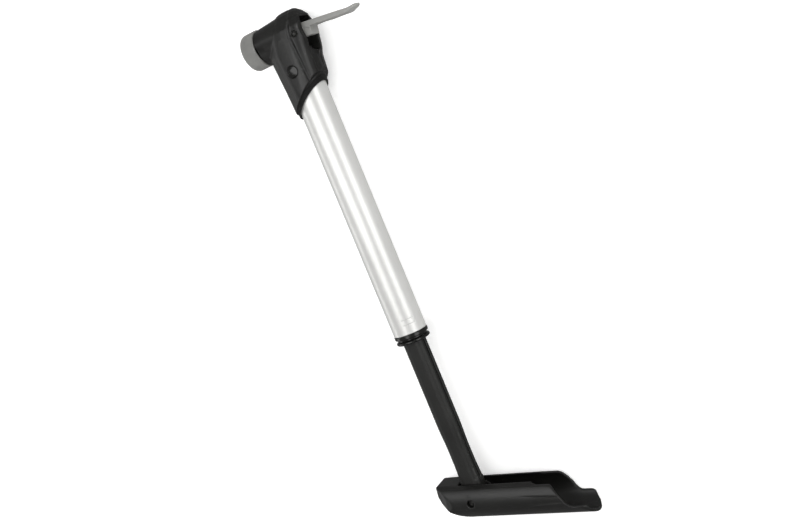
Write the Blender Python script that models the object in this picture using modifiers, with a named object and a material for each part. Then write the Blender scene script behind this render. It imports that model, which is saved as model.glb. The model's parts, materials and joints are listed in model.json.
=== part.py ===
"""Bicycle hand pump: aluminium barrel, lever-lock head and a fold-out sleeve handle.

The pump lies on its side.  Y runs along the barrel from handle to head, X along the opened
handle, and Z is up.  Lengths below are in millimetres and MM turns them into metres.
Local positions are measured from the lower end of the barrel, on the barrel's axis.
"""
import math

import bpy
from mathutils import Vector

MM = 0.001

# Where the barrel's lower end sits in the part's frame
FRAME_X = -24.125
FRAME_Y = -36.52
FRAME_Z = 13.6

# Barrel
BARREL_R = 11.0
BARREL_WALL = 1.3
BARREL_END = 184.0

# Head
SOCKET_R = 11.3
SOCKET_END = 185.0
SKIRT_CUT_Y = 157.65
SKIRT_CUT_SLOPE = 0.69
SKIRT_LIP = 3.6
SKIRT_LIP_R = 12.3
HEAD_FLAT_Z = 13.6
PORT_Y = 200.0
PORT_R = 11.2
PORT_SHOULDER_X = -18.9
PORT_NECK_R = 10.2
PORT_NECK_X = -24.8
PORT_BORE_R = 8.2
PORT_BORE_X = 6.2
SLOT_HALF = 5.8
SLOT_TOP_Y = 206.3
CHANNEL_X = 13.6
CHANNEL_Y = 171.5
PASSAGE_X = -6.0

# Valve collar
CAP_R = 12.0
CAP_REAR_X = -19.2
CAP_FRONT_X = -29.5

# Clamp lever
LEVER_PIVOT = (11.5, 197.2)
LEVER_HALF = 5.0
LEVER_PIN_R = 1.6
CAM_HIGH = 5.3
CAM_LOW = 2.9
LEVER_TRAVEL = math.radians(80)

# Gland
FLANGE_R = 11.2

# Rod and piston
PIVOT_Y = -116.3
ROD_HALF_X = 7.5
ROD_HALF_Z = 5.5
ROD_TOP_Y = 74.0
EYE_R = 7.2
EYE_HALF = 5.2

# Handle, in its own axes: u along it, v towards its open side
HANDLE_TILT = math.radians(-7.6)
SLEEVE_R = 13.6
SLEEVE_BORE_R = 11.7
DECK_V = 10.5
SLOT_START_U = -9.8
MOUTH_HALF = 6.2
NOSE_U = -27.6
LIP_U = 80.0
HANDLE_PIN_R = 2.2


def clear_scene():
    for obj in list(bpy.data.objects):
        bpy.data.objects.remove(obj, do_unlink=True)


def new_collection(name):
    collection = bpy.data.collections.new(name)
    bpy.context.scene.collection.children.link(collection)
    return collection


def new_material(name, colour, roughness, metallic=0.0):
    material = bpy.data.materials.new(name)
    material.use_nodes = True
    shader = material.node_tree.nodes["Principled BSDF"]
    shader.inputs["Base Color"].default_value = (*colour, 1.0)
    shader.inputs["Roughness"].default_value = roughness
    shader.inputs["Metallic"].default_value = metallic
    return material


clear_scene()
PARTS = new_collection("bicycle_hand_pump")
CUTTERS = new_collection("cutters")


def new_empty(name, location, parent=None, turn=0.0):
    empty = bpy.data.objects.new(name, None)
    empty.empty_display_size = 0.01
    empty.parent = parent
    empty.location = Vector(location) * MM
    empty.rotation_euler = (0.0, 0.0, turn)
    PARTS.objects.link(empty)
    return empty


PUMP = new_empty("pump_frame", (FRAME_X, FRAME_Y, FRAME_Z))
ROD = new_empty("rod_axis", (0.0, PIVOT_Y, 0.0), PUMP)
HANDLE = new_empty("handle_axis", (0.0, 0.0, 0.0), ROD, HANDLE_TILT)
LEVER = new_empty("lever_axis", (*LEVER_PIVOT, 0.0), PUMP)
PORT = new_empty("port_axis", (0.0, PORT_Y, 0.0), PUMP)

TURNS = {
    "X": (0.0, math.radians(90), 0.0),
    "Y": (math.radians(-90), 0.0, 0.0),
    "Z": (0.0, 0.0, 0.0),
}


def add_object(name, data, parent, cutter=False):
    obj = bpy.data.objects.new(name, data)
    obj.parent = parent
    if cutter:
        CUTTERS.objects.link(obj)
        obj.hide_render = True
        obj.display_type = "WIRE"
    else:
        PARTS.objects.link(obj)
    return obj


def turned(name, profile, axis, parent, at=(0.0, 0.0, 0.0), steps=48, cutter=False, phase=0.0):
    """Turn (radius, height) points about an axis; the outer side runs top to bottom."""
    closed = profile[0][0] > 0.0
    mesh = bpy.data.meshes.new(name)
    c = math.cos(math.radians(phase))
    s = math.sin(math.radians(phase))
    points = [(radius * c * MM, radius * s * MM, height * MM) for radius, height in profile]
    edges = [(i, i + 1) for i in range(len(points) - 1)]
    if closed:
        edges.append((len(points) - 1, 0))
    mesh.from_pydata(points, edges, [])
    obj = add_object(name, mesh, parent, cutter)
    obj.location = Vector(at) * MM
    obj.rotation_euler = TURNS[axis]
    screw = obj.modifiers.new("turn", "SCREW")
    screw.steps = steps
    screw.render_steps = steps
    screw.use_merge_vertices = True
    screw.merge_threshold = 0.00001
    screw.use_smooth_shade = False
    return obj


def rod_profile(radius, low, high):
    return [(0.0, high), (radius, high), (radius, low), (0.0, low)]


def tube_profile(outer, inner, low, high):
    return [(outer, high), (outer, low), (inner, low), (inner, high)]


def cylinder(name, radius, low, high, axis, parent, at=(0.0, 0.0, 0.0), steps=48, cutter=False,
             phase=0.0):
    return turned(name, rod_profile(radius, low, high), axis, parent, at, steps, cutter, phase)


def tube(name, outer, inner, low, high, axis, parent, at=(0.0, 0.0, 0.0), steps=48):
    return turned(name, tube_profile(outer, inner, low, high), axis, parent, at, steps)


def box(name, low, high, parent, turn=0.0, cutter=True):
    """A box between two corners, from the cube primitive."""
    bpy.ops.mesh.primitive_cube_add(size=1.0)
    obj = bpy.context.active_object
    obj.name = name
    for collection in list(obj.users_collection):
        collection.objects.unlink(obj)
    (CUTTERS if cutter else PARTS).objects.link(obj)
    size = [(b - a) * MM for a, b in zip(low, high)]
    for vertex in obj.data.vertices:
        vertex.co = Vector((vertex.co.x * size[0], vertex.co.y * size[1], vertex.co.z * size[2]))
    obj.parent = parent
    obj.location = Vector([(a + b) / 2 for a, b in zip(low, high)]) * MM
    obj.rotation_euler = (0.0, 0.0, turn)
    obj.hide_render = cutter
    if cutter:
        obj.display_type = "WIRE"
    return obj


def outline(name, points, low, high, parent, rotation=(0.0, 0.0, 0.0), at=(0.0, 0.0, 0.0),
            cutter=False, hole=None):
    """Extrude a closed outline in its local XY plane from low to high along its local Z."""
    curve = bpy.data.curves.new(name + "_outline", "CURVE")
    curve.dimensions = "2D"
    curve.fill_mode = "BOTH"
    curve.extrude = (high - low) / 2 * MM
    for loop in [points] + ([hole] if hole else []):
        spline = curve.splines.new("POLY")
        spline.points.add(len(loop) - 1)
        for point, (x, y) in zip(spline.points, loop):
            point.co = (x * MM, y * MM, 0.0, 1.0)
        spline.use_cyclic_u = True
    source = bpy.data.objects.new(name + "_curve", curve)
    CUTTERS.objects.link(source)
    bpy.context.view_layer.update()
    depsgraph = bpy.context.evaluated_depsgraph_get()
    mesh = bpy.data.meshes.new_from_object(source.evaluated_get(depsgraph))
    bpy.data.objects.remove(source, do_unlink=True)
    weld(mesh)
    for vertex in mesh.vertices:
        vertex.co.z += (high + low) / 2 * MM
    obj = add_object(name, mesh, parent, cutter)
    obj.location = Vector(at) * MM
    obj.rotation_euler = rotation
    return obj


def weld(mesh):
    import bmesh
    soft = bmesh.new()
    soft.from_mesh(mesh)
    bmesh.ops.remove_doubles(soft, verts=soft.verts, dist=0.000001)
    bmesh.ops.recalc_face_normals(soft, faces=soft.faces)
    soft.to_mesh(mesh)
    soft.free()


def boolean(target, other, operation):
    """EXACT loses small holes that cross inside the head, so the closed meshes use MANIFOLD."""
    modifier = target.modifiers.new(operation.lower() + "_" + other.name, "BOOLEAN")
    modifier.operation = operation
    modifier.object = other
    modifier.solver = "MANIFOLD"
    return modifier


def cut(target, *others):
    for other in others:
        boolean(target, other, "DIFFERENCE")


def join(target, *others):
    for other in others:
        boolean(target, other, "UNION")


def trim(target, *others):
    for other in others:
        boolean(target, other, "INTERSECT")


def torus(name, major, minor, axis, parent, at=(0.0, 0.0, 0.0)):
    bpy.ops.mesh.primitive_torus_add(major_radius=major * MM, minor_radius=minor * MM,
                                     major_segments=32, minor_segments=6)
    obj = bpy.context.active_object
    obj.name = name
    for collection in list(obj.users_collection):
        collection.objects.unlink(obj)
    PARTS.objects.link(obj)
    obj.parent = parent
    obj.location = Vector(at) * MM
    obj.rotation_euler = TURNS[axis]
    return obj


def finish(obj, material):
    obj.data.materials.clear()
    obj.data.materials.append(material)
    obj.data.shade_smooth()
    obj.data.set_sharp_from_angle(angle=math.radians(35))
    return obj


def rounded_section(half_x, half_z, radius, channel_half=0.0, channel_depth=0.0, arc=3):
    """Outline of a rounded bar with a channel along both narrow sides."""
    points = []
    corners = [(1, 1, 0), (-1, 1, 90), (-1, -1, 180), (1, -1, 270)]
    for sign_x, sign_z, start in corners:
        if channel_depth and sign_x > 0 and sign_z > 0:
            points.append((half_x - channel_depth, channel_half * 0.6))
            points.append((half_x, channel_half))
        if channel_depth and sign_x < 0 and sign_z < 0:
            points.append((-half_x + channel_depth, -channel_half * 0.6))
            points.append((-half_x, -channel_half))
        centre_x = sign_x * (half_x - radius)
        centre_z = sign_z * (half_z - radius)
        for i in range(arc + 1):
            angle = math.radians(start + 90 * i / arc)
            points.append((centre_x + radius * math.cos(angle), centre_z + radius * math.sin(angle)))
        if channel_depth and sign_x < 0 and sign_z > 0:
            points.append((-half_x, channel_half))
            points.append((-half_x + channel_depth, channel_half * 0.6))
        if channel_depth and sign_x > 0 and sign_z < 0:
            points.append((half_x, -channel_half))
            points.append((half_x - channel_depth, -channel_half * 0.6))
    return points


def circle(radius, count=48, centre=(0.0, 0.0)):
    return [(centre[0] + radius * math.cos(2 * math.pi * i / count),
             centre[1] + radius * math.sin(2 * math.pi * i / count)) for i in range(count)]


# Across the pump: a section drawn in X and Z, extruded along +Y
ALONG_Y = (math.radians(90), 0.0, math.radians(180))


# Along the handle: a section drawn in Z and Y, extruded along +X
ALONG_X = (0.0, math.radians(90), 0.0)


def section_points(points):
    """Mirror X, because the section is seen from the far end once it is stood along +Y."""
    return [(-x, z) for x, z in reversed(points)]


def loft_head(name, stations, parent, sides=40):
    """Superellipse rings up the barrel's axis, squarer on the lever side, closed at both ends."""
    import bmesh
    soft = bmesh.new()
    rings = []
    for height, left, right, half_z, power_left, power_right in stations:
        middle = (left + right) / 2
        half_x = (right - left) / 2
        ring = []
        for i in range(sides):
            angle = 2 * math.pi * i / sides
            c, s = math.cos(angle), math.sin(angle)
            power = power_right if c > 0 else power_left
            x = middle + half_x * math.copysign(abs(c) ** (2 / power), c)
            z = half_z * math.copysign(abs(s) ** (2 / power), s)
            ring.append(soft.verts.new((x * MM, height * MM, z * MM)))
        rings.append(ring)
    for lower, upper in zip(rings, rings[1:]):
        for i in range(sides):
            j = (i + 1) % sides
            soft.faces.new((lower[i], upper[i], upper[j], lower[j]))
    soft.faces.new(rings[0])
    soft.faces.new(list(reversed(rings[-1])))
    bmesh.ops.recalc_face_normals(soft, faces=soft.faces)
    mesh = bpy.data.meshes.new(name)
    soft.to_mesh(mesh)
    soft.free()
    return add_object(name, mesh, parent)


# ---------------------------------------------------------------- barrel and gland

def make_barrel(material):
    inner = BARREL_R - BARREL_WALL
    obj = tube("barrel_tube", BARREL_R, inner, 0.0, BARREL_END, "Y", PUMP)
    return finish(obj, material)


def make_gland_nut(material):
    profile = [(9.3, 9.6), (9.3, -0.3), (FLANGE_R, -0.3), (FLANGE_R, -2.5), (9.9, -2.8),
               (9.9, -3.9), (8.5, -3.9), (8.5, 9.6)]
    return finish(turned("gland_nut", profile, "Y", PUMP), material)


def make_rod_bush(material):
    obj = cylinder("rod_bush", 8.2, -3.9, 9.4, "Y", PUMP)
    hole = outline("rod_bush_hole", section_points(rounded_section(7.8, 5.8, 4.8)), -20.0, 30.0,
                   PUMP, ALONG_Y, cutter=True)
    cut(obj, hole)
    return finish(obj, material)


def make_bumper_ring(material):
    profile = [(0.0, -4.2), (10.6, -4.2), (FLANGE_R, -4.7), (FLANGE_R, -5.7), (10.6, -6.2), (0.0, -6.2)]
    obj = turned("bumper_ring", profile, "Y", PUMP)
    hole = outline("bumper_ring_hole", section_points(rounded_section(7.8, 5.8, 4.8)), -20.0, 30.0,
                   PUMP, ALONG_Y, cutter=True)
    cut(obj, hole)
    return finish(obj, material)


# ---------------------------------------------------------------- head

def make_head(material):
    stations = [
        (143.0, -13.2, 13.2, 13.2, 2.0, 2.0),
        (168.0, -14.3, 14.3, 13.7, 2.1, 2.3),
        (180.0, -15.0, 14.9, 13.9, 2.2, 2.7),
        (189.0, -15.6, 15.7, 13.9, 2.3, 3.0),
        (196.0, -13.5, 16.7, 13.8, 2.3, 3.1),
        (202.0, -10.0, 17.2, 13.0, 2.3, 3.0),
        (207.0, -7.0, 16.6, 10.9, 2.3, 2.7),
        (210.3, -4.5, 14.4, 8.2, 2.2, 2.4),
        (212.6, -2.0, 11.6, 5.0, 2.1, 2.2),
        (213.4, 1.0, 8.5, 2.2, 2.0, 2.0),
    ]
    head = loft_head("head_body", stations, PUMP)
    port = turned("port_stub", [(0.0, 4.0), (PORT_R + 1.4, 4.0), (PORT_R, PORT_SHOULDER_X),
                                (PORT_NECK_R, PORT_SHOULDER_X), (PORT_NECK_R, PORT_NECK_X),
                                (0.0, PORT_NECK_X)], "X", PORT, steps=48, cutter=True)
    join(head, port)
    flats = [box("flat_top", (-40, 120, HEAD_FLAT_Z), (40, 230, 30), PUMP),
             box("flat_bottom", (-40, 120, -30), (40, 230, -HEAD_FLAT_Z), PUMP)]
    cut(head, *flats)
    angle = math.atan(SKIRT_CUT_SLOPE)
    below = box("skirt_cut", (-60, -60, -30), (60, 0, 30), PUMP, angle)
    below.location = Vector((30 * math.sin(angle), SKIRT_CUT_Y - 30 * math.cos(angle), 0.0)) * MM
    step_y = SKIRT_CUT_Y + SKIRT_LIP
    step = box("skirt_step", (-60, -60, -30), (60, 0, 30), PUMP, angle)
    step.location = Vector((30 * math.sin(angle), step_y - 30 * math.cos(angle), 0.0)) * MM
    lip = cylinder("skirt_lip", SKIRT_LIP_R, 60.0, 200.0, "Y", PUMP, cutter=True)
    cut(step, lip)
    cut(head, below, step)
    socket = cylinder("barrel_socket", SOCKET_R, 100.0, SOCKET_END, "Y", PUMP, cutter=True)
    bore = cylinder("port_bore", PORT_BORE_R, -40.0, PORT_BORE_X, "X", PORT, cutter=True)
    passage = turned("air_passage", [(0.0, 194.0), (1.2, 194.0), (1.2, 190.6), (3.2, 190.6),
                                     (3.2, 184.0), (0.0, 184.0)], "Y", PUMP, (PASSAGE_X, 0, 0), 24, True,
                     phase=5.0)
    slot = box("lever_slot", (PORT_BORE_X - 0.2, 195.0, -SLOT_HALF), (30, SLOT_TOP_Y, SLOT_HALF), PUMP)
    pocket = cylinder("cam_pocket", 8.8, -SLOT_HALF, SLOT_HALF, "Z", LEVER, cutter=True, phase=2.0)
    pocket_limit = box("cam_pocket_limit", (-20, -20, -10), (PORT_BORE_X - 0.2 - LEVER_PIVOT[0], 20, 10), LEVER)
    cut(pocket, pocket_limit)
    channel = box("lever_channel", (CHANNEL_X, CHANNEL_Y, -SLOT_HALF), (30, 197.0, SLOT_HALF), PUMP)
    pin_hole = cylinder("lever_pin_hole", LEVER_PIN_R + 0.3, -20, 20, "Z", LEVER, steps=24, cutter=True,
                        phase=4.0)
    recess = cylinder("badge_recess", 3.8, 12.8, 20.0, "Z", PUMP, (1.1, 177.0, 0.0), 32, True, 3.0)
    cut(head, socket, bore, passage, slot, pocket, channel, pin_hole, recess)
    return finish(head, material)


def make_badge(material):
    return finish(cylinder("head_badge", 3.45, 13.1, 13.6, "Z", PUMP, (1.1, 177.0, 0.0), 32), material)


def make_check_valve(seat_material, ball_material):
    seat = turned("check_seat", [(2.9, 187.0), (2.9, 185.3), (1.0, 185.3), (1.0, 187.0)], "Y", PUMP,
                  (PASSAGE_X, 0.0, 0.0), 24)
    finish(seat, seat_material)
    bpy.ops.mesh.primitive_uv_sphere_add(segments=16, ring_count=8, radius=1.7 * MM)
    ball = bpy.context.active_object
    ball.name = "check_ball"
    for collection in list(ball.users_collection):
        collection.objects.unlink(ball)
    PARTS.objects.link(ball)
    ball.parent = PUMP
    ball.location = Vector((PASSAGE_X, 188.5, 0.0)) * MM
    return finish(ball, ball_material)


def make_head_seal(material):
    profile = [(10.9, 184.8), (10.9, 184.3), (9.8, 184.3), (9.8, 184.8)]
    return finish(turned("head_gasket", profile, "Y", PUMP, steps=32), material)


# ---------------------------------------------------------------- valve collar and chuck

def make_cap(material):
    profile = [(CAP_R - 0.5, CAP_REAR_X), (CAP_R, CAP_REAR_X - 0.5), (CAP_R, CAP_FRONT_X + 1.4),
               (CAP_R - 0.5, CAP_FRONT_X + 0.4), (CAP_R - 1.5, CAP_FRONT_X), (4.9, CAP_FRONT_X),
               (4.9, -27.9), (10.6, -27.9), (10.6, CAP_REAR_X)]
    return finish(turned("valve_cap", profile, "X", PORT, steps=40), material)


def make_valve_seal(material):
    profile = [(7.8, -13.4), (7.8, -27.5), (3.8, -27.5), (3.4, -26.0), (3.4, -15.0), (3.8, -13.4)]
    return finish(turned("valve_seal", profile, "X", PORT, steps=32), material)


def make_seal_washer(material):
    return finish(tube("seal_washer", 7.8, 3.2, -13.0, -12.0, "X", PORT, steps=24), material)


def make_plunger(material):
    profile = [(3.0, -11.6), (7.8, -11.6), (7.8, -10.6), (6.3, -10.6), (6.3, -8.4), (7.8, -8.4),
               (7.8, -7.6), (6.4, -7.4), (6.4, -4.4), (7.8, -4.2), (7.8, -1.9), (6.3, -1.9),
               (6.3, 0.3), (7.8, 0.3), (7.8, 3.4), (4.0, 3.4), (4.0, 6.1), (1.4, 6.1), (1.4, -2.6),
               (3.0, -2.6)]
    plunger = turned("chuck_plunger", list(reversed(profile)), "X", PORT, steps=24)
    cross = cylinder("plunger_cross_hole", 1.4, -12, 12, "Y", PORT, (-5.9, 0, 0), 20, True)
    cut(plunger, cross)
    return finish(plunger, material)


def make_plunger_rings(material):
    finish(torus("plunger_ring_front", 7.25, 0.7, "X", PORT, (-9.5, 0, 0)), material)
    finish(torus("plunger_ring_rear", 7.25, 0.7, "X", PORT, (-0.8, 0, 0)), material)


def make_core_depressor(material):
    profile = [(0.0, -2.9), (2.7, -2.9), (2.7, -3.9), (0.7, -3.9), (0.7, -10.0), (0.0, -10.0)]
    return finish(turned("core_depressor", profile, "X", PORT, steps=24), material)


# ---------------------------------------------------------------- clamp lever

def cam_points(steps=8):
    """Cam nose whose reach falls evenly from CAM_HIGH to CAM_LOW as the lever folds."""
    rate = (CAM_HIGH - CAM_LOW) / LEVER_TRAVEL
    points = []
    for i in range(steps + 1):
        turn = LEVER_TRAVEL * i / steps
        reach = CAM_HIGH - rate * turn
        x = -reach * math.cos(turn) - rate * math.sin(turn)
        y = -reach * math.sin(turn) + rate * math.cos(turn)
        points.append((x, y))
    return points


def make_lever(material):
    points = cam_points()
    points += [(0.5, -2.85), (3.2, -2.9), (3.2, -3.5), (7.4, -3.7), (8.2, 1.0), (14.1, 0.6),
               (20.0, -0.4), (27.3, -1.1), (33.6, -1.9), (35.3, -1.8), (37.5, -1.1), (41.0, -0.3),
               (42.0, 0.3), (42.0, 0.8), (41.4, 1.1), (38.6, 0.8), (35.5, 0.8), (27.9, 1.9), (14.2, 3.8),
               (3.2, 5.2), (-1.0, 5.0), (-3.6, 4.4)]
    lever = outline("clamp_lever", points, -LEVER_HALF, LEVER_HALF, LEVER)
    tip = []
    for i in range(9):
        angle = math.radians(90 - 180 * i / 8)
        tip.append((37.8 + 4.4 * math.cos(angle), 4.6 * math.sin(angle)))
    plan = [(-12.0, -LEVER_HALF - 1), (-12.0, LEVER_HALF + 1), (12.0, LEVER_HALF + 1)] + tip
    plan += [(12.0, -LEVER_HALF - 1)]
    limit = outline("lever_plan", [(x, -z) for x, z in reversed(plan)], -15, 15, LEVER,
                    (math.radians(90), 0, 0), cutter=True)
    trim(lever, limit)
    hole = cylinder("lever_eye", LEVER_PIN_R + 0.3, -12, 12, "Z", LEVER, steps=24, cutter=True)
    cut(lever, hole)
    return finish(lever, material)


def make_lever_pin(material):
    obj = tube("lever_pin", LEVER_PIN_R, 0.9, -12.8, 12.8, "Z", LEVER, steps=24)
    return finish(obj, material)


# ---------------------------------------------------------------- rod and piston

def make_rod(material):
    along = ROD_TOP_Y - PIVOT_Y
    section = section_points(rounded_section(ROD_HALF_X, ROD_HALF_Z, 4.5, 1.0, 1.4))
    rod = outline("pump_rod", section, 9.0, along, ROD, ALONG_Y)
    eye_points = circle(EYE_R, 40)
    eye = outline("rod_eye", eye_points, -EYE_HALF, EYE_HALF, ROD, cutter=True)
    neck = outline("rod_neck", section_points(rounded_section(EYE_R, EYE_HALF, 2.5)), 0.0, 12.0, ROD,
                   ALONG_Y, cutter=True)
    join(rod, eye, neck)
    pin_hole = cylinder("rod_pin_hole", HANDLE_PIN_R + 0.3, -20, 20, "Z", ROD, steps=32, cutter=True)
    screw_hole = cylinder("rod_screw_hole", 2.1, along - 15, along + 10, "Y", ROD, steps=24, cutter=True)
    cut(rod, pin_hole, screw_hole)
    return finish(rod, material)


def make_piston(material):
    base = -PIVOT_Y
    profile = [(9.3, 88.0), (9.3, 84.0), (7.3, 84.0), (7.3, 80.8), (9.3, 80.8), (9.3, 74.3),
               (2.1, 74.3), (2.1, 85.0), (3.9, 85.0), (3.9, 88.0)]
    obj = turned("piston", [(r, h + base) for r, h in profile], "Y", ROD, steps=32)
    return finish(obj, material)


def make_piston_seal(material):
    return finish(torus("piston_seal", 8.6, 1.0, "Y", ROD, (0, 82.4 - PIVOT_Y, 0)), material)


def make_piston_screw(material):
    base = -PIVOT_Y
    profile = [(0.0, 86.5), (1.0, 86.5), (1.0, 87.8), (3.5, 87.8), (3.5, 85.3), (1.8, 85.3),
               (1.8, 60.0), (0.0, 60.0)]
    obj = turned("piston_screw", [(r, h + base) for r, h in profile], "Y", ROD, steps=24)
    return finish(obj, material)


# ---------------------------------------------------------------- handle

def handle_section():
    """Round sleeve seen along its length, as (z, v), narrowing to the two edges of its mouth."""
    half = [(6.3, DECK_V - 0.2), (7.6, DECK_V - 0.6), (9.2, 9.2)]
    start = math.atan2(8.7, 10.1)
    for i in range(18):
        angle = start - (start + math.pi / 2) * i / 17
        half.append((SLEEVE_R * math.cos(angle), SLEEVE_R * math.sin(angle)))
    other = [(-z, v) for z, v in reversed(half[:-1])]
    return half + other


def handle_side_outline():
    points = [(90.0, -15.0), (4.0, -15.0), (-2.0, -13.3), (-7.0, -11.6), (-12.0, -9.0), (-16.5, -5.8),
              (-20.5, -2.0), (-24.0, 1.6), (-26.6, 4.0), (NOSE_U, 5.4), (-27.2, 7.0), (-24.8, DECK_V)]
    points += [(41.0, DECK_V), (42.6, 10.0), (44.6, 8.9), (54.2, 8.6), (56.0, 7.4), (60.5, 1.0),
               (63.0, -3.0), (65.0, -4.8), (67.6, -5.4), (74.6, -5.4), (76.0, -6.0), (79.0, -9.5),
               (90.0, -13.0)]
    return points


def handle_plan_outline():
    points = []
    for i in range(13):
        angle = math.radians(90 + 180 * i / 12)
        points.append((-8.0 + 19.8 * math.cos(angle), 14.2 * math.sin(angle)))
    points += [(66.0, -14.2), (71.5, -13.0), (75.5, -10.4), (78.4, -6.4), (79.8, -2.4), (LIP_U, 0.0),
               (79.8, 2.4), (78.4, 6.4), (75.5, 10.4), (71.5, 13.0), (66.0, 14.2)]
    return points


def make_handle(material):
    shell = outline("handle_shell", handle_section(), NOSE_U - 1, LIP_U + 1, HANDLE, ALONG_X)
    side = outline("handle_side", handle_side_outline(), -20, 20, HANDLE, cutter=True)
    plan = outline("handle_plan", [(u, -z) for u, z in reversed(handle_plan_outline())], -20, 20, HANDLE,
                   (math.radians(90), 0, 0), cutter=True)
    trim(shell, side, plan)
    bore_end = [(0.0, 120.0), (SLEEVE_BORE_R, 120.0), (SLEEVE_BORE_R, -1.0), (8.0, SLOT_START_U), (0.0, SLOT_START_U)]
    bore = turned("sleeve_bore", bore_end, "X", HANDLE, steps=48, cutter=True)
    nose = turned("nose_hollow", [(0.0, 0.0), (8.4, 0.0), (8.4, -8.0), (5.0, -12.5), (0.0, -15.0)],
                  "X", HANDLE, steps=32, cutter=True)
    mouth = box("mouth", (SLOT_START_U, 0, -MOUTH_HALF), (100, 30, MOUTH_HALF), HANDLE)
    wide = box("mouth_wide", (42.0, 0, -7.4), (100, 30, 7.4), HANDLE)
    cut(shell, bore, nose, mouth, wide)
    ears = [cylinder("ear_upper", 5.4, 6.5, 12.7, "Z", HANDLE, steps=32, cutter=True),
            cylinder("ear_lower", 5.4, -12.7, -6.5, "Z", HANDLE, steps=32, cutter=True)]
    join(shell, *ears)
    hole = cylinder("handle_pin_hole", HANDLE_PIN_R + 0.3, -20, 20, "Z", HANDLE, steps=32, cutter=True)
    cut(shell, hole)
    return finish(shell, material)


def make_handle_pin(material):
    profile = [(0.0, 11.6), (HANDLE_PIN_R - 0.4, 11.6), (HANDLE_PIN_R, 11.2), (HANDLE_PIN_R, -11.2),
               (HANDLE_PIN_R - 0.4, -11.6), (0.0, -11.6)]
    return finish(turned("handle_pin", profile, "Z", HANDLE, steps=24), material)


def make_pivot_washers(material):
    finish(tube("pivot_washer_upper", 5.0, 2.5, 5.45, 6.2, "Z", HANDLE, steps=24), material)
    finish(tube("pivot_washer_lower", 5.0, 2.5, -6.2, -5.45, "Z", HANDLE, steps=24), material)


def main():
    silver = new_material("satin_aluminium", (0.78, 0.79, 0.80), 0.32, 0.9)
    black = new_material("black_nylon", (0.022, 0.022, 0.021), 0.55)
    gloss = new_material("black_acetal", (0.012, 0.012, 0.012), 0.25)
    grey = new_material("grey_nylon", (0.30, 0.30, 0.285), 0.5)
    rubber = new_material("black_rubber", (0.015, 0.015, 0.015), 0.8)
    steel = new_material("pin_steel", (0.55, 0.55, 0.54), 0.35, 1.0)
    white = new_material("natural_acetal", (0.75, 0.74, 0.70), 0.45)
    make_barrel(silver)
    make_gland_nut(gloss)
    make_rod_bush(white)
    make_bumper_ring(gloss)
    make_head(black)
    make_badge(black)
    make_head_seal(rubber)
    make_check_valve(white, steel)
    make_cap(grey)
    make_valve_seal(rubber)
    make_seal_washer(white)
    make_plunger(white)
    make_plunger_rings(rubber)
    make_core_depressor(steel)
    make_lever(grey)
    make_lever_pin(steel)
    make_rod(black)
    make_piston(white)
    make_piston_seal(rubber)
    make_piston_screw(steel)
    make_handle(black)
    make_handle_pin(steel)
    make_pivot_washers(white)


main()
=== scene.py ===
"""Looks for a bicycle hand pump with a fold-out handle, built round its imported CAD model.

Shapes are worked out in millimetres in four local frames, then placed by the frame's own boxes and joints:
the pump frame (barrel axis, from the barrel's lower end), the port frame, the rod frame and the handle frame.
"""

import math

import bmesh
import bpy
import numpy as np
from mathutils import Matrix, Vector
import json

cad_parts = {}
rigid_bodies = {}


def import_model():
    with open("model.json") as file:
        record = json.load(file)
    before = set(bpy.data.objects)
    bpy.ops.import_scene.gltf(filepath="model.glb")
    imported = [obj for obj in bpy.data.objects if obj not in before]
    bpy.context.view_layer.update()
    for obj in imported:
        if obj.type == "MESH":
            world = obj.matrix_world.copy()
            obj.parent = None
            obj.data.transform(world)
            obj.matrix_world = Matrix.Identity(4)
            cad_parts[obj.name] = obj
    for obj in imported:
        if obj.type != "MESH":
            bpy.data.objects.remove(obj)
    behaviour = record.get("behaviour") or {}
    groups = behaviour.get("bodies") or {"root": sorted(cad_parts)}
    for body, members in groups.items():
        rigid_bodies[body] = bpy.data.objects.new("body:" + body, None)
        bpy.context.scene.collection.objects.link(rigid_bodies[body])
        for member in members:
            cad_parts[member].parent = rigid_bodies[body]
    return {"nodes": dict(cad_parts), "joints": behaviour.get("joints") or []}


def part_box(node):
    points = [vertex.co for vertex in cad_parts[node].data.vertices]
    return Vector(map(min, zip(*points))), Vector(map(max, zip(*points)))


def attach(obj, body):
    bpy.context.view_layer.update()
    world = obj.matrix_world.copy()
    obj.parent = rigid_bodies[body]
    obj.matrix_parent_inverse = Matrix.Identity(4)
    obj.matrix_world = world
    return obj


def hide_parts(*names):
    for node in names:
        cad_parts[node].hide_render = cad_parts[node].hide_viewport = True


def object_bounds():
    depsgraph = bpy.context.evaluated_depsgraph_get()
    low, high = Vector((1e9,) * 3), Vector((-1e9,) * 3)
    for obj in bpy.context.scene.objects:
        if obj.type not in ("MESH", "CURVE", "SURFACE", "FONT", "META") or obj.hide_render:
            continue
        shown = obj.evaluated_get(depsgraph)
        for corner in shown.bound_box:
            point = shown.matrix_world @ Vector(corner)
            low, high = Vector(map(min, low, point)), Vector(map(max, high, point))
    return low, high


for leftover in list(bpy.data.objects):
    bpy.data.objects.remove(leftover)

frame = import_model()
CAD_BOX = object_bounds()
MM = 0.001
TILT = math.radians(-7.6)

# Relaxing a mesh: each round smooths by the first share and swells back by the second.
SMOOTH, SWELL = 0.5, 0.53
# The oblique end of the skirt: where it crosses the barrel's axis, and its rise per mm across.
LIP_START, LIP_RISE = 157.65, 0.69
# The lip band's extent up from that end, its base radius, and the pitch and height of its ribs.
BAND_LOW, BAND_HIGH, BAND_RADIUS, RIB_PITCH, RIB_HEIGHT = 0.12, 3.5, 12.45, 0.8, 0.17
# Room left inside the CAD box for the head and the handle.
HEAD_HALF, HEAD_TOP, HANDLE_HALF = 13.58, 213.37, 13.59
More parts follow.
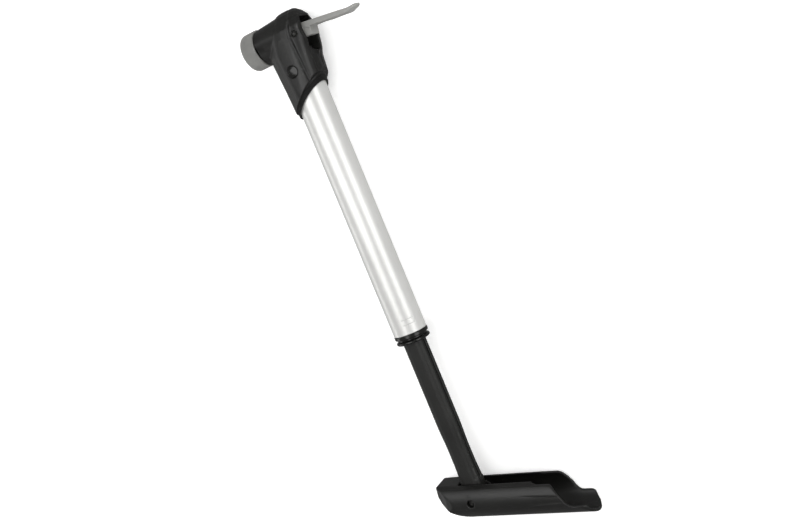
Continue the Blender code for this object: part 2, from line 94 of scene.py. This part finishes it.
# Engraved marks on the barrel: places along it, half width, depth, and the arc they cover in degrees.
MARKS, MARK_HALF, MARK_DEPTH, MARK_ARC = (5.9, 9.3), 0.36, 0.16, (12.0, 18.0, 56.0, 63.0)


def joint_point(name):
    """A point on a joint's axis, in the row frame."""
    return Vector(next(j for j in frame["joints"] if j["name"] == name)["pos_m"])


TUBE_LOW, TUBE_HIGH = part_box("barrel_tube")
MIDDLE = (TUBE_LOW + TUBE_HIGH) / 2
ORIGIN = Vector((MIDDLE.x, TUBE_LOW.y, MIDDLE.z))
IN_MM = Matrix.Scale(MM, 4)
PUMP = Matrix.Translation(ORIGIN) @ IN_MM
PORT = Matrix.Translation((ORIGIN.x, joint_point("collar_turn").y, ORIGIN.z)) @ IN_MM
LEVER = Matrix.Translation(joint_point("lever_clamp")) @ IN_MM
ROD = Matrix.Translation(joint_point("handle_fold")) @ IN_MM
HANDLE = Matrix.Translation(joint_point("handle_fold")) @ Matrix.Rotation(TILT, 4, "Z") @ IN_MM


# ---------------------------------------------------------------- mesh helpers

def smoothstep(low, high, value):
    t = np.clip((value - low) / (high - low), 0.0, 1.0)
    return t * t * (3.0 - 2.0 * t)


def place(name, mesh, local, body, nodes, material):
    """A mesh in local millimetres becomes a smooth-shaded piece that rides on a body."""
    mesh.transform(local)
    mesh.name = name
    obj = bpy.data.objects.new(name, mesh)
    bpy.context.scene.collection.objects.link(obj)
    mesh.materials.clear()
    mesh.materials.append(material)
    mesh.polygons.foreach_set("use_smooth", [True] * len(mesh.polygons))
    mesh.update()
    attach(obj, body)
    if nodes:
        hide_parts(*nodes)
    return obj


def rounded(loop, radius, arc=4):
    """A closed loop of (r, h) points with a small arc at each corner that is off the axis."""
    out = []
    count = len(loop)
    for i, corner in enumerate(loop):
        here = Vector(corner)
        before = Vector(loop[i - 1]) - here
        after = Vector(loop[(i + 1) % count]) - here
        angle = before.angle(after)
        if here.x < 1e-6 or angle > math.radians(172):
            out.append((here.x, here.y))
            continue
        back = min(radius / math.tan(angle / 2), 0.42 * before.length, 0.42 * after.length)
        start = here + before.normalized() * back
        end = here + after.normalized() * back
        for k in range(arc + 1):
            t = k / arc
            q = start * (1 - t) ** 2 + here * (2 * t * (1 - t)) + end * t * t
            out.append((q.x, q.y))
    return out


def with_support(loop, step, near=0.12):
    """The same loop with long sides divided, finely beside each corner, so that shading stays true."""
    out = []
    for i, a in enumerate(loop):
        b = loop[(i + 1) % len(loop)]
        out.append(a)
        length = math.dist(a, b)
        if length < 3 * near or (a[0] < 1e-6 and b[0] < 1e-6):
            continue
        inner = max(1, math.ceil((length - 2 * near) / step))
        stops = [near] + [near + (length - 2 * near) * k / inner for k in range(1, inner)] + [length - near]
        for s in stops:
            t = s / length
            out.append((a[0] + (b[0] - a[0]) * t, a[1] + (b[1] - a[1]) * t))
    return out


AXES = {
    "X": lambda r, h, c, s: (h, r * c, r * s),
    "Y": lambda r, h, c, s: (r * s, h, r * c),
    "Z": lambda r, h, c, s: (r * c, r * s, h),
}


def skin(name, loops):
    """A closed mesh through rings of points, the last ring joined to the first; a ring of one is a pole."""
    shape = bmesh.new()
    rings = [[shape.verts.new(point) for point in loop] for loop in loops]
    steps = max(len(ring) for ring in rings)
    for i, ring in enumerate(rings):
        other = rings[(i + 1) % len(rings)]
        if len(ring) == 1 and len(other) == 1:
            continue
        for k in range(steps):
            n = (k + 1) % steps
            if len(ring) == 1:
                shape.faces.new((ring[0], other[k], other[n]))
            elif len(other) == 1:
                shape.faces.new((ring[k], other[0], ring[n]))
            else:
                shape.faces.new((ring[k], other[k], other[n], ring[n]))
    bmesh.ops.recalc_face_normals(shape, faces=shape.faces)
    mesh = bpy.data.meshes.new(name)
    shape.to_mesh(mesh)
    shape.free()
    return mesh


def turns(steps):
    return [2 * math.pi * k / steps for k in range(steps)]


def lathe(loop, axis, radius=0.3, steps=144, step=4.0):
    """A closed solid turned about an axis from a closed (r, h) loop; points at r 0 are its poles."""
    to_xyz = AXES[axis]
    loops = []
    for r, h in with_support(rounded(loop, radius), step):
        if r < 1e-6:
            loops.append([to_xyz(0.0, h, 1.0, 0.0)])
        else:
            loops.append([to_xyz(r, h, math.cos(t), math.sin(t)) for t in turns(steps)])
    return skin("lathe", loops)


def cad_copy(node, local):
    """A CAD node's mesh in local millimetres, with its separate corners joined into one skin."""
    shape = bmesh.new()
    shape.from_mesh(frame["nodes"][node].data)
    bmesh.ops.transform(shape, matrix=local.inverted(), verts=shape.verts)
    bmesh.ops.remove_doubles(shape, verts=shape.verts, dist=0.003)
    return shape


def remesh(shape, voxel):
    """One even skin round everything in the mesh."""
    mesh = bpy.data.meshes.new("work")
    shape.to_mesh(mesh)
    shape.free()
    work = bpy.data.objects.new("work", mesh)
    bpy.context.scene.collection.objects.link(work)
    modifier = work.modifiers.new("remesh", "REMESH")
    modifier.mode = "VOXEL"
    modifier.voxel_size = voxel
    graph = bpy.context.evaluated_depsgraph_get()
    result = bpy.data.meshes.new_from_object(work.evaluated_get(graph))
    bpy.data.objects.remove(work)
    return result


def read_points(mesh):
    flat = np.empty(len(mesh.vertices) * 3, np.float32)
    mesh.vertices.foreach_get("co", flat)
    return flat.reshape(-1, 3).astype(float)


def write_points(mesh, points):
    mesh.vertices.foreach_set("co", points.astype(np.float32).ravel())
    mesh.update()


def read_normals(mesh):
    flat = np.empty(len(mesh.vertices) * 3, np.float32)
    mesh.vertex_normals.foreach_get("vector", flat)
    return flat.reshape(-1, 3).astype(float)


def relax(mesh, rounds):
    """Rounds small edges and facets without shrinking the form: each round smooths, then swells back."""
    points = read_points(mesh)
    ends = np.empty(len(mesh.edges) * 2, np.int32)
    mesh.edges.foreach_get("vertices", ends)
    a, b = ends.reshape(-1, 2).T
    total = len(points)
    share = np.bincount(a, minlength=total) + np.bincount(b, minlength=total)
    share = np.maximum(share, 1)
    for _ in range(rounds):
        for factor in (SMOOTH, -SWELL):
            for axis in range(3):
                value = points[:, axis]
                mean = np.bincount(a, value[b], total) + np.bincount(b, value[a], total)
                points[:, axis] = value + factor * (mean / share - value)
    write_points(mesh, points)


def path_distance(x, y, path):
    """Distance in a plane from each point to a line through the path's points."""
    best = np.full(len(x), 1e9)
    for (ax, ay), (bx, by) in zip(path, path[1:]):
        dx, dy = bx - ax, by - ay
        t = np.clip(((x - ax) * dx + (y - ay) * dy) / (dx * dx + dy * dy), 0.0, 1.0)
        best = np.minimum(best, np.hypot(x - ax - t * dx, y - ay - t * dy))
    return best


def groove(distance, half_width):
    """1 in the middle of a groove, falling smoothly to 0 at its edges."""
    return 1.0 - smoothstep(0.0, half_width, distance)


def border(value, path):
    """The x of a border line at each height, from (height, x) stations."""
    heights, across = zip(*sorted(path))
    return np.interp(value, heights, across)


# ---------------------------------------------------------------- materials

def link(tree, a, b):
    tree.links.new(a, b)


def noise(tree, coords, scale, detail=3.0, stretch=None):
    """A noise value in 0..1, in object space, stretched along one axis if asked."""
    source = coords
    if stretch:
        mapping = tree.nodes.new("ShaderNodeMapping")
        mapping.inputs["Scale"].default_value = stretch
        link(tree, coords, mapping.inputs["Vector"])
        source = mapping.outputs["Vector"]
    node = tree.nodes.new("ShaderNodeTexNoise")
    node.inputs["Scale"].default_value = scale
    node.inputs["Detail"].default_value = detail
    node.inputs["Roughness"].default_value = 0.55
    link(tree, source, node.inputs["Vector"])
    return node.outputs["Fac"]


def spread(tree, value, low, high, from_low=0.3, from_high=0.7):
    node = tree.nodes.new("ShaderNodeMapRange")
    node.inputs["From Min"].default_value = from_low
    node.inputs["From Max"].default_value = from_high
    node.inputs["To Min"].default_value = low
    node.inputs["To Max"].default_value = high
    link(tree, value, node.inputs["Value"])
    return node.outputs["Result"]


def mix(tree, factor, a, b):
    node = tree.nodes.new("ShaderNodeMix")
    node.data_type = "RGBA"
    link(tree, factor, node.inputs["Factor"])
    for socket, value in ((node.inputs["A"], a), (node.inputs["B"], b)):
        if isinstance(value, tuple):
            socket.default_value = (*value, 1.0)
        else:
            link(tree, value, socket)
    return node.outputs["Result"]


def surface(name, dark, light, rough, patch=45.0, grain=2600.0, bump=0.25, depth=0.00004,
            metallic=0.0, specular=0.5, edge_highlight=None, highlight_from=0.52, highlight_to=0.62, stretch=None,
            sheen=0.0):
    """A procedural finish: soft colour patches, fine grain in bump and gloss, and a painted highlight that
    makes pointed edges paler.
    """
    material = bpy.data.materials.new(name)
    material.use_nodes = True
    tree = material.node_tree
    shader = tree.nodes["Principled BSDF"]
    coords = tree.nodes.new("ShaderNodeTexCoord").outputs["Object"]
    patches = noise(tree, coords, patch, 4.0)
    fine = noise(tree, coords, grain, 2.0, stretch)
    colour = mix(tree, spread(tree, patches, 0.0, 1.0), dark, light)
    # Painted highlight: pointed edges are mixed towards a paler colour, broken up by noise.
    if edge_highlight:
        geometry = tree.nodes.new("ShaderNodeNewGeometry")
        edge = spread(tree, geometry.outputs["Pointiness"], 0.0, 1.0, highlight_from, highlight_to)
        broken = spread(tree, noise(tree, coords, 420.0, 4.0), 0.25, 1.0)
        both = tree.nodes.new("ShaderNodeMath")
        both.operation = "MULTIPLY"
        link(tree, edge, both.inputs[0])
        link(tree, broken, both.inputs[1])
        colour = mix(tree, both.outputs["Value"], colour, edge_highlight)
    link(tree, colour, shader.inputs["Base Color"])
    gloss = spread(tree, fine, rough[0], rough[1])
    link(tree, gloss, shader.inputs["Roughness"])
    shader.inputs["Metallic"].default_value = metallic
    shader.inputs["Specular IOR Level"].default_value = specular
    shader.inputs["Sheen Weight"].default_value = sheen
    height = tree.nodes.new("ShaderNodeBump")
    height.inputs["Strength"].default_value = bump
    height.inputs["Distance"].default_value = depth
    link(tree, fine, height.inputs["Height"])
    link(tree, height.outputs["Normal"], shader.inputs["Normal"])
    return material


# The last colour given to a finish is its painted edge highlight, laid on pointed edges.
MOULDED = surface("moulded_black", (0.0042, 0.0042, 0.0037), (0.0078, 0.0078, 0.0069), (0.33, 0.47),
                  bump=0.35, specular=0.55, edge_highlight=(0.030, 0.030, 0.028))
MATTE = surface("matte_black_rod", (0.0060, 0.0060, 0.0053), (0.0100, 0.0100, 0.0089), (0.40, 0.56),
                bump=0.45, grain=2000.0, edge_highlight=(0.028, 0.028, 0.026), stretch=(1.0, 0.35, 1.0))
GLOSSY = surface("polished_black", (0.0040, 0.0040, 0.0036), (0.0070, 0.0070, 0.0063), (0.12, 0.22),
                 bump=0.06, edge_highlight=(0.020, 0.020, 0.019))
LIP = surface("lip_black", (0.0040, 0.0040, 0.0037), (0.0070, 0.0070, 0.0064), (0.40, 0.55), bump=0.2,
              specular=0.4)
GREY = surface("grey_nylon_finish", (0.155, 0.155, 0.147), (0.205, 0.205, 0.195), (0.42, 0.58), bump=0.5,
               grain=1900.0, edge_highlight=(0.26, 0.26, 0.25))
LEVER_GREY = surface("lever_nylon_finish", (0.205, 0.205, 0.195), (0.265, 0.265, 0.253), (0.38, 0.54),
                     bump=0.4, grain=1900.0, edge_highlight=(0.36, 0.36, 0.35))
SILVER = surface("satin_anodised", (0.69, 0.69, 0.673), (0.76, 0.76, 0.743), (0.34, 0.42), patch=20.0,
                 grain=5200.0, bump=0.12, depth=0.00002, metallic=0.55, stretch=(1.0, 0.12, 1.0),
                 edge_highlight=(0.85, 0.85, 0.84), highlight_from=0.56, highlight_to=0.7)
STEEL = surface("pin_steel_finish", (0.40, 0.40, 0.39), (0.52, 0.52, 0.51), (0.22, 0.36), patch=300.0,
                grain=6000.0, bump=0.15, metallic=1.0)
DARK_STEEL = surface("blackened_pin", (0.020, 0.020, 0.019), (0.035, 0.035, 0.033), (0.28, 0.42), patch=300.0,
                     grain=6000.0, bump=0.15, metallic=0.5, edge_highlight=(0.12, 0.12, 0.115))
RUBBER = surface("black_rubber_finish", (0.008, 0.008, 0.008), (0.013, 0.013, 0.012), (0.6, 0.78), bump=0.3,
                 specular=0.35, sheen=0.05)
ACETAL = surface("natural_acetal_finish", (0.56, 0.55, 0.51), (0.64, 0.63, 0.59), (0.32, 0.46), bump=0.12)


# ---------------------------------------------------------------- barrel

def mark_depth(height, angle):
    """How deep the engraved marks are at a place on the barrel."""
    turn = math.degrees(angle)
    start, full, fade, end = MARK_ARC
    along = float(smoothstep(start, full, turn) * (1 - smoothstep(fade, end, turn)))
    across = sum(max(0.0, 1 - (abs(height - line) / MARK_HALF) ** 2) for line in MARKS)
    return MARK_DEPTH * across * along


def make_barrel():
    """Anodised tube with broken edges and two short engraved marks beside the gland."""
    length = (TUBE_HIGH.y - TUBE_LOW.y) / MM
    outer = (TUBE_HIGH.x - TUBE_LOW.x) / 2 / MM
    inner = outer - 1.3
    marked = 12.5
    points = rounded([(outer, 0.0), (outer, 12.0), (outer, length), (inner, length), (inner, 0.0)], 0.28)
    points = [p for p in points if not (abs(p[0] - outer) < 1e-6 and 0.3 < p[1] < marked)]
    start = next(i for i, p in enumerate(points) if abs(p[0] - outer) < 1e-6 and p[1] < 1.0) + 1
    points[start:start] = [(outer, 0.45 + 0.18 * k) for k in range(60)]
    loops = []
    for r, h in points:
        engraved = abs(r - outer) < 1e-6 and h < marked
        loop = []
        for angle in turns(240):
            radius = r - mark_depth(h, angle) if engraved else r
            loop.append(AXES["Y"](radius, h, math.cos(angle), math.sin(angle)))
        loops.append(loop)
    place("barrel_shell", skin("barrel", loops), PUMP, "pump_body", ["barrel_tube"],
          SILVER)


def make_gland():
    """Turned black gland at the barrel's lower end, with a bumper ring below a narrow groove."""
    loop = [(9.3, 9.6), (9.3, -0.3), (11.2, -0.3), (11.2, -2.5), (9.9, -2.8), (9.9, -3.9), (8.5, -3.9),
            (8.5, 9.6)]
    place("gland_ring", lathe(loop, "Y", 0.3), PUMP, "pump_body", ["gland_nut"], GLOSSY)


def make_bumper():
    shape = cad_copy("bumper_ring", PUMP)
    mesh = remesh(shape, 0.2)
    relax(mesh, 6)
    place("bumper_flange", mesh, PUMP, "pump_body", ["bumper_ring"], GLOSSY)


# ---------------------------------------------------------------- head

# Borders on the head as (y, x): the raised strap's two edges and the near wall's cut back end.
STRAP_LEFT = [(214.0, 9.9), (205.0, 9.9), (200.0, 9.0), (195.7, 8.5), (187.0, 8.6), (177.0, 8.9),
              (160.0, 9.3)]
STRAP_RIGHT = [(214.0, 17.6), (204.3, 17.0), (197.0, 15.2), (190.0, 16.0), (160.0, 20.0)]
WALL_END = [(214.0, 19.0), (207.0, 17.2), (204.0, 15.6), (199.0, 14.9), (194.0, 15.4), (190.0, 16.6),
            (160.0, 20.0)]


def carve_recess(points):
    """The pocket below the cam goes deeper, and the channel under it has a rounded rib beside a groove."""
    x, y, z = points.T
    floor = (x > 12.6) & (x < 14.6) & (np.abs(z) < 5.6)
    edge = 186.2 + 0.16 * z
    depth = 9.2
    pocket = (smoothstep(-0.35, 0.35, y - edge) * smoothstep(191.3, 190.7, y)
              * smoothstep(5.8, 5.3, np.abs(z)) * ((x > 11.5) & (x < 14.9)))
    points[:, 0] = x + pocket * (depth - x)
    rib = floor & (y < 185.0) & (y > 170.5)
    ends = smoothstep(171.5, 175.0, y) * smoothstep(184.6, 181.0, y)
    swell = 0.9 * np.exp(-((z - 0.6) / 2.7) ** 2) - 1.3 * groove(np.abs(z + 4.6), 1.2)
    points[:, 0] += np.where(rib, swell * ends, 0.0)


def shape_walls(points):
    """The near wall of the lever slot is cut back beside the lever, and the far wall reaches out more."""
    x, y, z = points.T
    end = border(y, WALL_END)
    near = (z > 4.8) & (y > 190.0) & (y < 207.0)
    points[:, 0] = np.where(near, np.minimum(x, end), x)
    reach = smoothstep(-4.8, -6.0, z) * smoothstep(12.5, 15.0, x)
    points[:, 0] += 1.4 * reach * smoothstep(181.0, 186.0, y) * smoothstep(199.0, 194.0, y)


def trim_skirt(points):
    """The skirt ends in one clean oblique cut, and stays below the lip band that lies on it."""
    x, y, z = points.T
    end, under_band, shoulder = 0.35, 12.2, BAND_HIGH - 0.1
    above = y - (LIP_START + LIP_RISE * x)
    points[:, 1] = np.where(above < end, y + end - above, y)
    above = np.maximum(above, end)
    radius = np.hypot(x, z)
    allowed = np.where(above < 6.0, under_band + 2.2 * np.maximum(above - shoulder, 0.0), 1e3)
    shrink = np.minimum(1.0, allowed / np.maximum(radius, 1e-6))
    points[:, 0] *= shrink
    points[:, 2] *= shrink


def make_head():
    """Moulded head: one soft-edged skin, a bright band, a wide groove and a raised strap past the pin."""
    shape = cad_copy("head_body", PUMP)
    mesh = remesh(shape, 0.4)
    relax(mesh, 18)
    points = read_points(mesh)
    carve_recess(points)
    shape_walls(points)
    write_points(mesh, points)
    relax(mesh, 2)
    points, normals = read_points(mesh), read_normals(mesh)
    x, y, z = points.T
    same_side = np.sign(z) == np.sign(normals[:, 2])
    facing = smoothstep(0.15, 0.5, np.abs(normals[:, 2])) * same_side * smoothstep(6.0, 9.0, np.abs(z))
    over_top = smoothstep(0.3, 0.6, normals[:, 1]) * smoothstep(204.0, 206.0, y)
    outside = np.maximum(facing, over_top)
    left, right = border(y, STRAP_LEFT), border(y, STRAP_RIGHT)
    above_lip = smoothstep(3.9, 4.6, y - (LIP_START + LIP_RISE * x))
    strap = smoothstep(-0.1, 0.6, x - left) * smoothstep(-0.1, 0.5, right - x)
    side_groove = groove(np.abs(x - left), 1.45) * above_lip * smoothstep(206.5, 203.0, y)
    move = 0.4 * strap * above_lip * smoothstep(186.0, 195.0, y) - 1.0 * side_groove
    inward = np.clip(4.2 - x, 0.0, 18.0)
    slope = 0.0052 * inward ** 2 + 0.035 * inward
    fall = slope * smoothstep(7.5, 12.8, np.abs(z)) * smoothstep(203.0, 194.0, y)
    points += normals * ((move - fall * above_lip) * outside)[:, None]
    points[:, 2] = np.clip(points[:, 2], -HEAD_HALF, HEAD_HALF)
    points[:, 1] = np.minimum(points[:, 1], HEAD_TOP)
    write_points(mesh, points)
    relax(mesh, 3)
    points = read_points(mesh)
    trim_skirt(points)
    write_points(mesh, points)
    place("head_moulding", mesh, PUMP, "pump_body", ["head_body"], MOULDED)


def make_lip():
    """Dark ribbed band along the oblique edge of the skirt, proud of the moulding beneath."""
    inner, edge = 11.7, 12.30
    stations = [(inner, BAND_LOW), (edge, BAND_LOW)]
    for k in range(25):
        s = 0.2 + 3.2 * k / 24
        stations.append((BAND_RADIUS + RIB_HEIGHT * math.cos(2 * math.pi * s / RIB_PITCH), s))
    stations += [(edge, BAND_HIGH), (inner, BAND_HIGH)]
    loops = []
    for r, s in stations:
        loop = []
        for angle in turns(200):
            across = r * math.sin(angle)
            loop.append((across, LIP_START + LIP_RISE * across + s, r * math.cos(angle)))
        loops.append(loop)
    place("skirt_lip_band", skin("lip", loops), PUMP, "pump_body", [], LIP)


def make_badge():
    """Plain round disc with a low rim and a dished middle."""
    low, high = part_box("head_badge")
    middle = (low + high) / 2
    local = Matrix.Translation((middle.x, middle.y, low.z)) @ IN_MM
    thick = (high.z - low.z) / MM
    loop = [(0.0, 0.0), (3.35, 0.0), (3.35, 0.08), (2.6, 0.28), (1.8, 0.40), (0.9, thick - 0.04),
            (0.0, thick - 0.01)]
    place("badge_disc", lathe(loop, "Z", 0.18, 96, 0.5), local, "pump_body", ["head_badge"],
          GLOSSY)


def make_pins():
    rivet = [(0.0, 12.55), (0.7, 12.5), (1.0, 12.35), (1.08, 11.9), (1.28, 11.9), (1.34, 12.75), (1.6, 12.75)]
    rivet += [(r, -h) for r, h in reversed(rivet)]
    place("lever_rivet", lathe(rivet, "Z", 0.1, 64), LEVER, "pump_body", ["lever_pin"],
          DARK_STEEL)
    solid = [(0.0, 11.6), (1.3, 11.6), (1.45, 11.25), (2.2, 11.25), (2.2, -11.25), (1.45, -11.25),
             (1.3, -11.6), (0.0, -11.6)]
    place("handle_rivet", lathe(solid, "Z", 0.2, 72), HANDLE, "handle", ["handle_pin"],
          DARK_STEEL)
    for name, low in (("pivot_washer_upper", 5.45), ("pivot_washer_lower", -6.2)):
        ring = [(5.0, low), (5.0, low + 0.75), (2.5, low + 0.75), (2.5, low)]
        place(name + "_ring", lathe(ring, "Z", 0.12, 96), HANDLE, "handle", [name], ACETAL)


# ---------------------------------------------------------------- port, cap and lever

def make_cap():
    """Grey ring that screws on the port, with a softly broken rear edge and a rounded front."""
    loop = [(11.5, -19.2), (12.0, -19.7), (12.0, -28.1), (11.5, -29.1), (10.5, -29.48), (5.3, -29.48),
            (4.9, -29.1), (4.9, -27.9), (10.6, -27.9), (10.6, -19.2)]
    place("cap_ring", lathe(loop, "X", 0.35), PORT, "collar", ["valve_cap"], GREY)


def make_seal():
    loop = [(7.8, -13.4), (7.8, -27.5), (3.8, -27.5), (3.4, -26.0), (3.4, -15.0), (3.8, -13.4)]
    place("valve_seal_sleeve", lathe(loop, "X", 0.3, 96), PORT, "pump_body", ["valve_seal"],
          RUBBER)


def make_lever():
    """Cam lever: a block beside the pin, then a thin arm that is slightly hollow near its tip."""
    shape = cad_copy("clamp_lever", LEVER)
    mesh = remesh(shape, 0.22)
    relax(mesh, 8)
    points, normals = read_points(mesh), read_normals(mesh)
    x, y, z = points.T
    face = smoothstep(0.4, 0.8, np.abs(normals[:, 2]))
    step = groove(path_distance(x, y, [(3.6, 1.6), (9.4, -0.6)]), 0.45)
    tip = np.hypot((x - 39.8) / 2.1, (y - 0.9) / 0.75)
    hollow = (1 - smoothstep(0.5, 1.0, tip))
    points += normals * (-(0.28 * step + 0.35 * hollow) * face)[:, None]
    write_points(mesh, points)
    relax(mesh, 1)
    place("lever_moulding", mesh, LEVER, "lever", ["clamp_lever"], LEVER_GREY)


# ---------------------------------------------------------------- rod and handle

def make_rod():
    """Extruded-look rod that narrows a little above its eye."""
    shape = cad_copy("pump_rod", ROD)
    mesh = remesh(shape, 0.36)
    relax(mesh, 14)
    points = read_points(mesh)
    x, y, z = points.T
    hollow = np.clip(1 - (z / 2.1) ** 2, 0.0, 1.0) * smoothstep(4.6, 6.0, np.abs(x))
    hollow *= smoothstep(7.0, 14.0, y)
    points[:, 0] = x - np.sign(x) * 0.95 * hollow
    waist = smoothstep(52.0, 34.0, y) * smoothstep(8.0, 26.0, y)
    points[:, 0] *= 1.0 - 0.07 * waist
    points[:, 2] *= 1.0 - 0.06 * waist
    write_points(mesh, points)
    place("rod_bar", mesh, ROD, "rod", ["pump_rod"], MATTE)


def make_handle():
    """Fold-out handle: rounded walls with a shallow relief panel low on each side."""
    shape = cad_copy("handle_shell", HANDLE)
    mesh = remesh(shape, 0.45)
    relax(mesh, 20)
    points, normals = read_points(mesh), read_normals(mesh)
    u, v, z = points.T
    outward = np.sign(z) == np.sign(normals[:, 2])
    side = smoothstep(0.35, 0.7, np.abs(normals[:, 2])) * outward * smoothstep(8.5, 10.0, np.abs(z))
    top = 4.2 - (u - 33.4) * 0.052
    bottom = -3.4 + (u - 49.2) * 0.05
    band = smoothstep(0.0, 0.5, top - v) * smoothstep(0.0, 1.6, v - bottom)
    along = smoothstep(32.0, 46.0, u) * smoothstep(62.5, 60.5, u)
    points += normals * (-0.4 * band * along * side)[:, None]
    write_points(mesh, points)
    relax(mesh, 1)
    points = read_points(mesh)
    points[:, 2] = np.clip(points[:, 2], -HANDLE_HALF, HANDLE_HALF)
    write_points(mesh, points)
    place("handle_moulding", mesh, HANDLE, "handle", ["handle_shell"], MOULDED)


# ---------------------------------------------------------------- kept CAD nodes

KEPT = {
    "rod_bush": ACETAL, "check_seat": ACETAL, "check_ball": STEEL, "chuck_plunger": ACETAL,
    "core_depressor": STEEL, "head_gasket": RUBBER, "piston": ACETAL, "piston_seal": RUBBER,
    "piston_screw": STEEL, "plunger_ring_front": RUBBER, "plunger_ring_rear": RUBBER, "seal_washer": ACETAL,
}


def finish_kept():
    for name, material in KEPT.items():
        for slot in frame["nodes"][name].material_slots:
            slot.material = material


# ---------------------------------------------------------------- stage

def make_floor():
    """Plain pale floor that curves up far behind the object."""
    low, high = CAD_BOX
    shape = bmesh.new()
    bmesh.ops.create_grid(shape, x_segments=40, y_segments=40, size=3.0)
    for vertex in shape.verts:
        reach = max(0.0, vertex.co.xy.length - 1.4)
        vertex.co.z = low.z - 0.0002 + 0.8 * reach * reach
    mesh = bpy.data.meshes.new("studio_floor")
    shape.to_mesh(mesh)
    shape.free()
    for face in mesh.polygons:
        face.use_smooth = True
    floor = bpy.data.objects.new("studio_floor", mesh)
    bpy.context.scene.collection.objects.link(floor)
    paint = bpy.data.materials.new("pale_floor")
    paint.use_nodes = True
    shader = paint.node_tree.nodes["Principled BSDF"]
    shader.inputs["Base Color"].default_value = (0.93, 0.93, 0.925, 1.0)
    shader.inputs["Roughness"].default_value = 0.9
    shader.inputs["Specular IOR Level"].default_value = 0.1
    shader.inputs["Emission Color"].default_value = (1.0, 1.0, 1.0, 1.0)
    tree = paint.node_tree
    away = tree.nodes.new("ShaderNodeVectorMath")
    away.operation = "LENGTH"
    link(tree, tree.nodes.new("ShaderNodeTexCoord").outputs["Object"], away.inputs[0])
    link(tree, spread(tree, away.outputs["Value"], 0.3, 0.72, 0.45, 1.3), shader.inputs["Emission Strength"])
    mesh.materials.append(paint)
    floor.visible_glossy = False


def area_light(name, place_at, aim, size, power):
    data = bpy.data.lights.new(name, "AREA")
    data.shape = "RECTANGLE"
    data.size, data.size_y = size
    data.energy = power
    lamp = bpy.data.objects.new(name, data)
    bpy.context.scene.collection.objects.link(lamp)
    lamp.location = place_at
    lamp.rotation_euler = (Vector(aim) - Vector(place_at)).to_track_quat("-Z", "Y").to_euler()
    return lamp


def make_lights():
    area_light("softbox_above", (-0.14, 0.18, 0.93), (0.0, 0.02, 0.0), (0.60, 0.95), 3.9)
    area_light("softbox_right", (0.82, 0.14, 0.46), (0.0, 0.02, 0.0), (1.00, 0.48), 3.1)
    area_light("strip_left", (-0.90, 0.02, 0.20), (0.0, 0.02, 0.0), (1.30, 0.30), 1.5)
    bpy.context.scene.view_settings.view_transform = "Standard"
    world = bpy.data.worlds.new("studio")
    bpy.context.scene.world = world
    world.use_nodes = True
    sky = world.node_tree.nodes["Background"]
    sky.inputs["Color"].default_value = (1.0, 1.0, 1.0, 1.0)
    sky.inputs["Strength"].default_value = 0.21


def make_camera():
    """The camera stands above and to the right, turned so that the barrel runs down to the right."""
    data = bpy.data.cameras.new("camera")
    camera = bpy.data.objects.new("camera", data)
    bpy.context.scene.collection.objects.link(camera)
    roll, lean, swing = math.radians(22.461), math.radians(5.3998), math.radians(30.067)
    turn = (Matrix.Rotation(roll, 3, "Z") @ Matrix.Rotation(lean, 3, "X")
            @ Matrix(((math.cos(swing), 0.0, -math.sin(swing)), (0.0, 1.0, 0.0),
                      (math.sin(swing), 0.0, math.cos(swing)))))
    shift = Vector((0.01006, -0.045208, -0.637725))
    place_at = ORIGIN - turn.transposed() @ shift
    camera.matrix_world = Matrix.Translation(place_at) @ turn.transposed().to_4x4()
    data.sensor_width = 36.0
    data.lens = 45.67
    data.clip_start = 0.01
    bpy.context.scene.camera = camera


def main():
    make_barrel()
    make_gland()
    make_bumper()
    make_head()
    make_lip()
    make_badge()
    make_pins()
    make_cap()
    make_seal()
    make_lever()
    make_rod()
    make_handle()
    finish_kept()
    make_floor()
    make_lights()
    make_camera()


main()
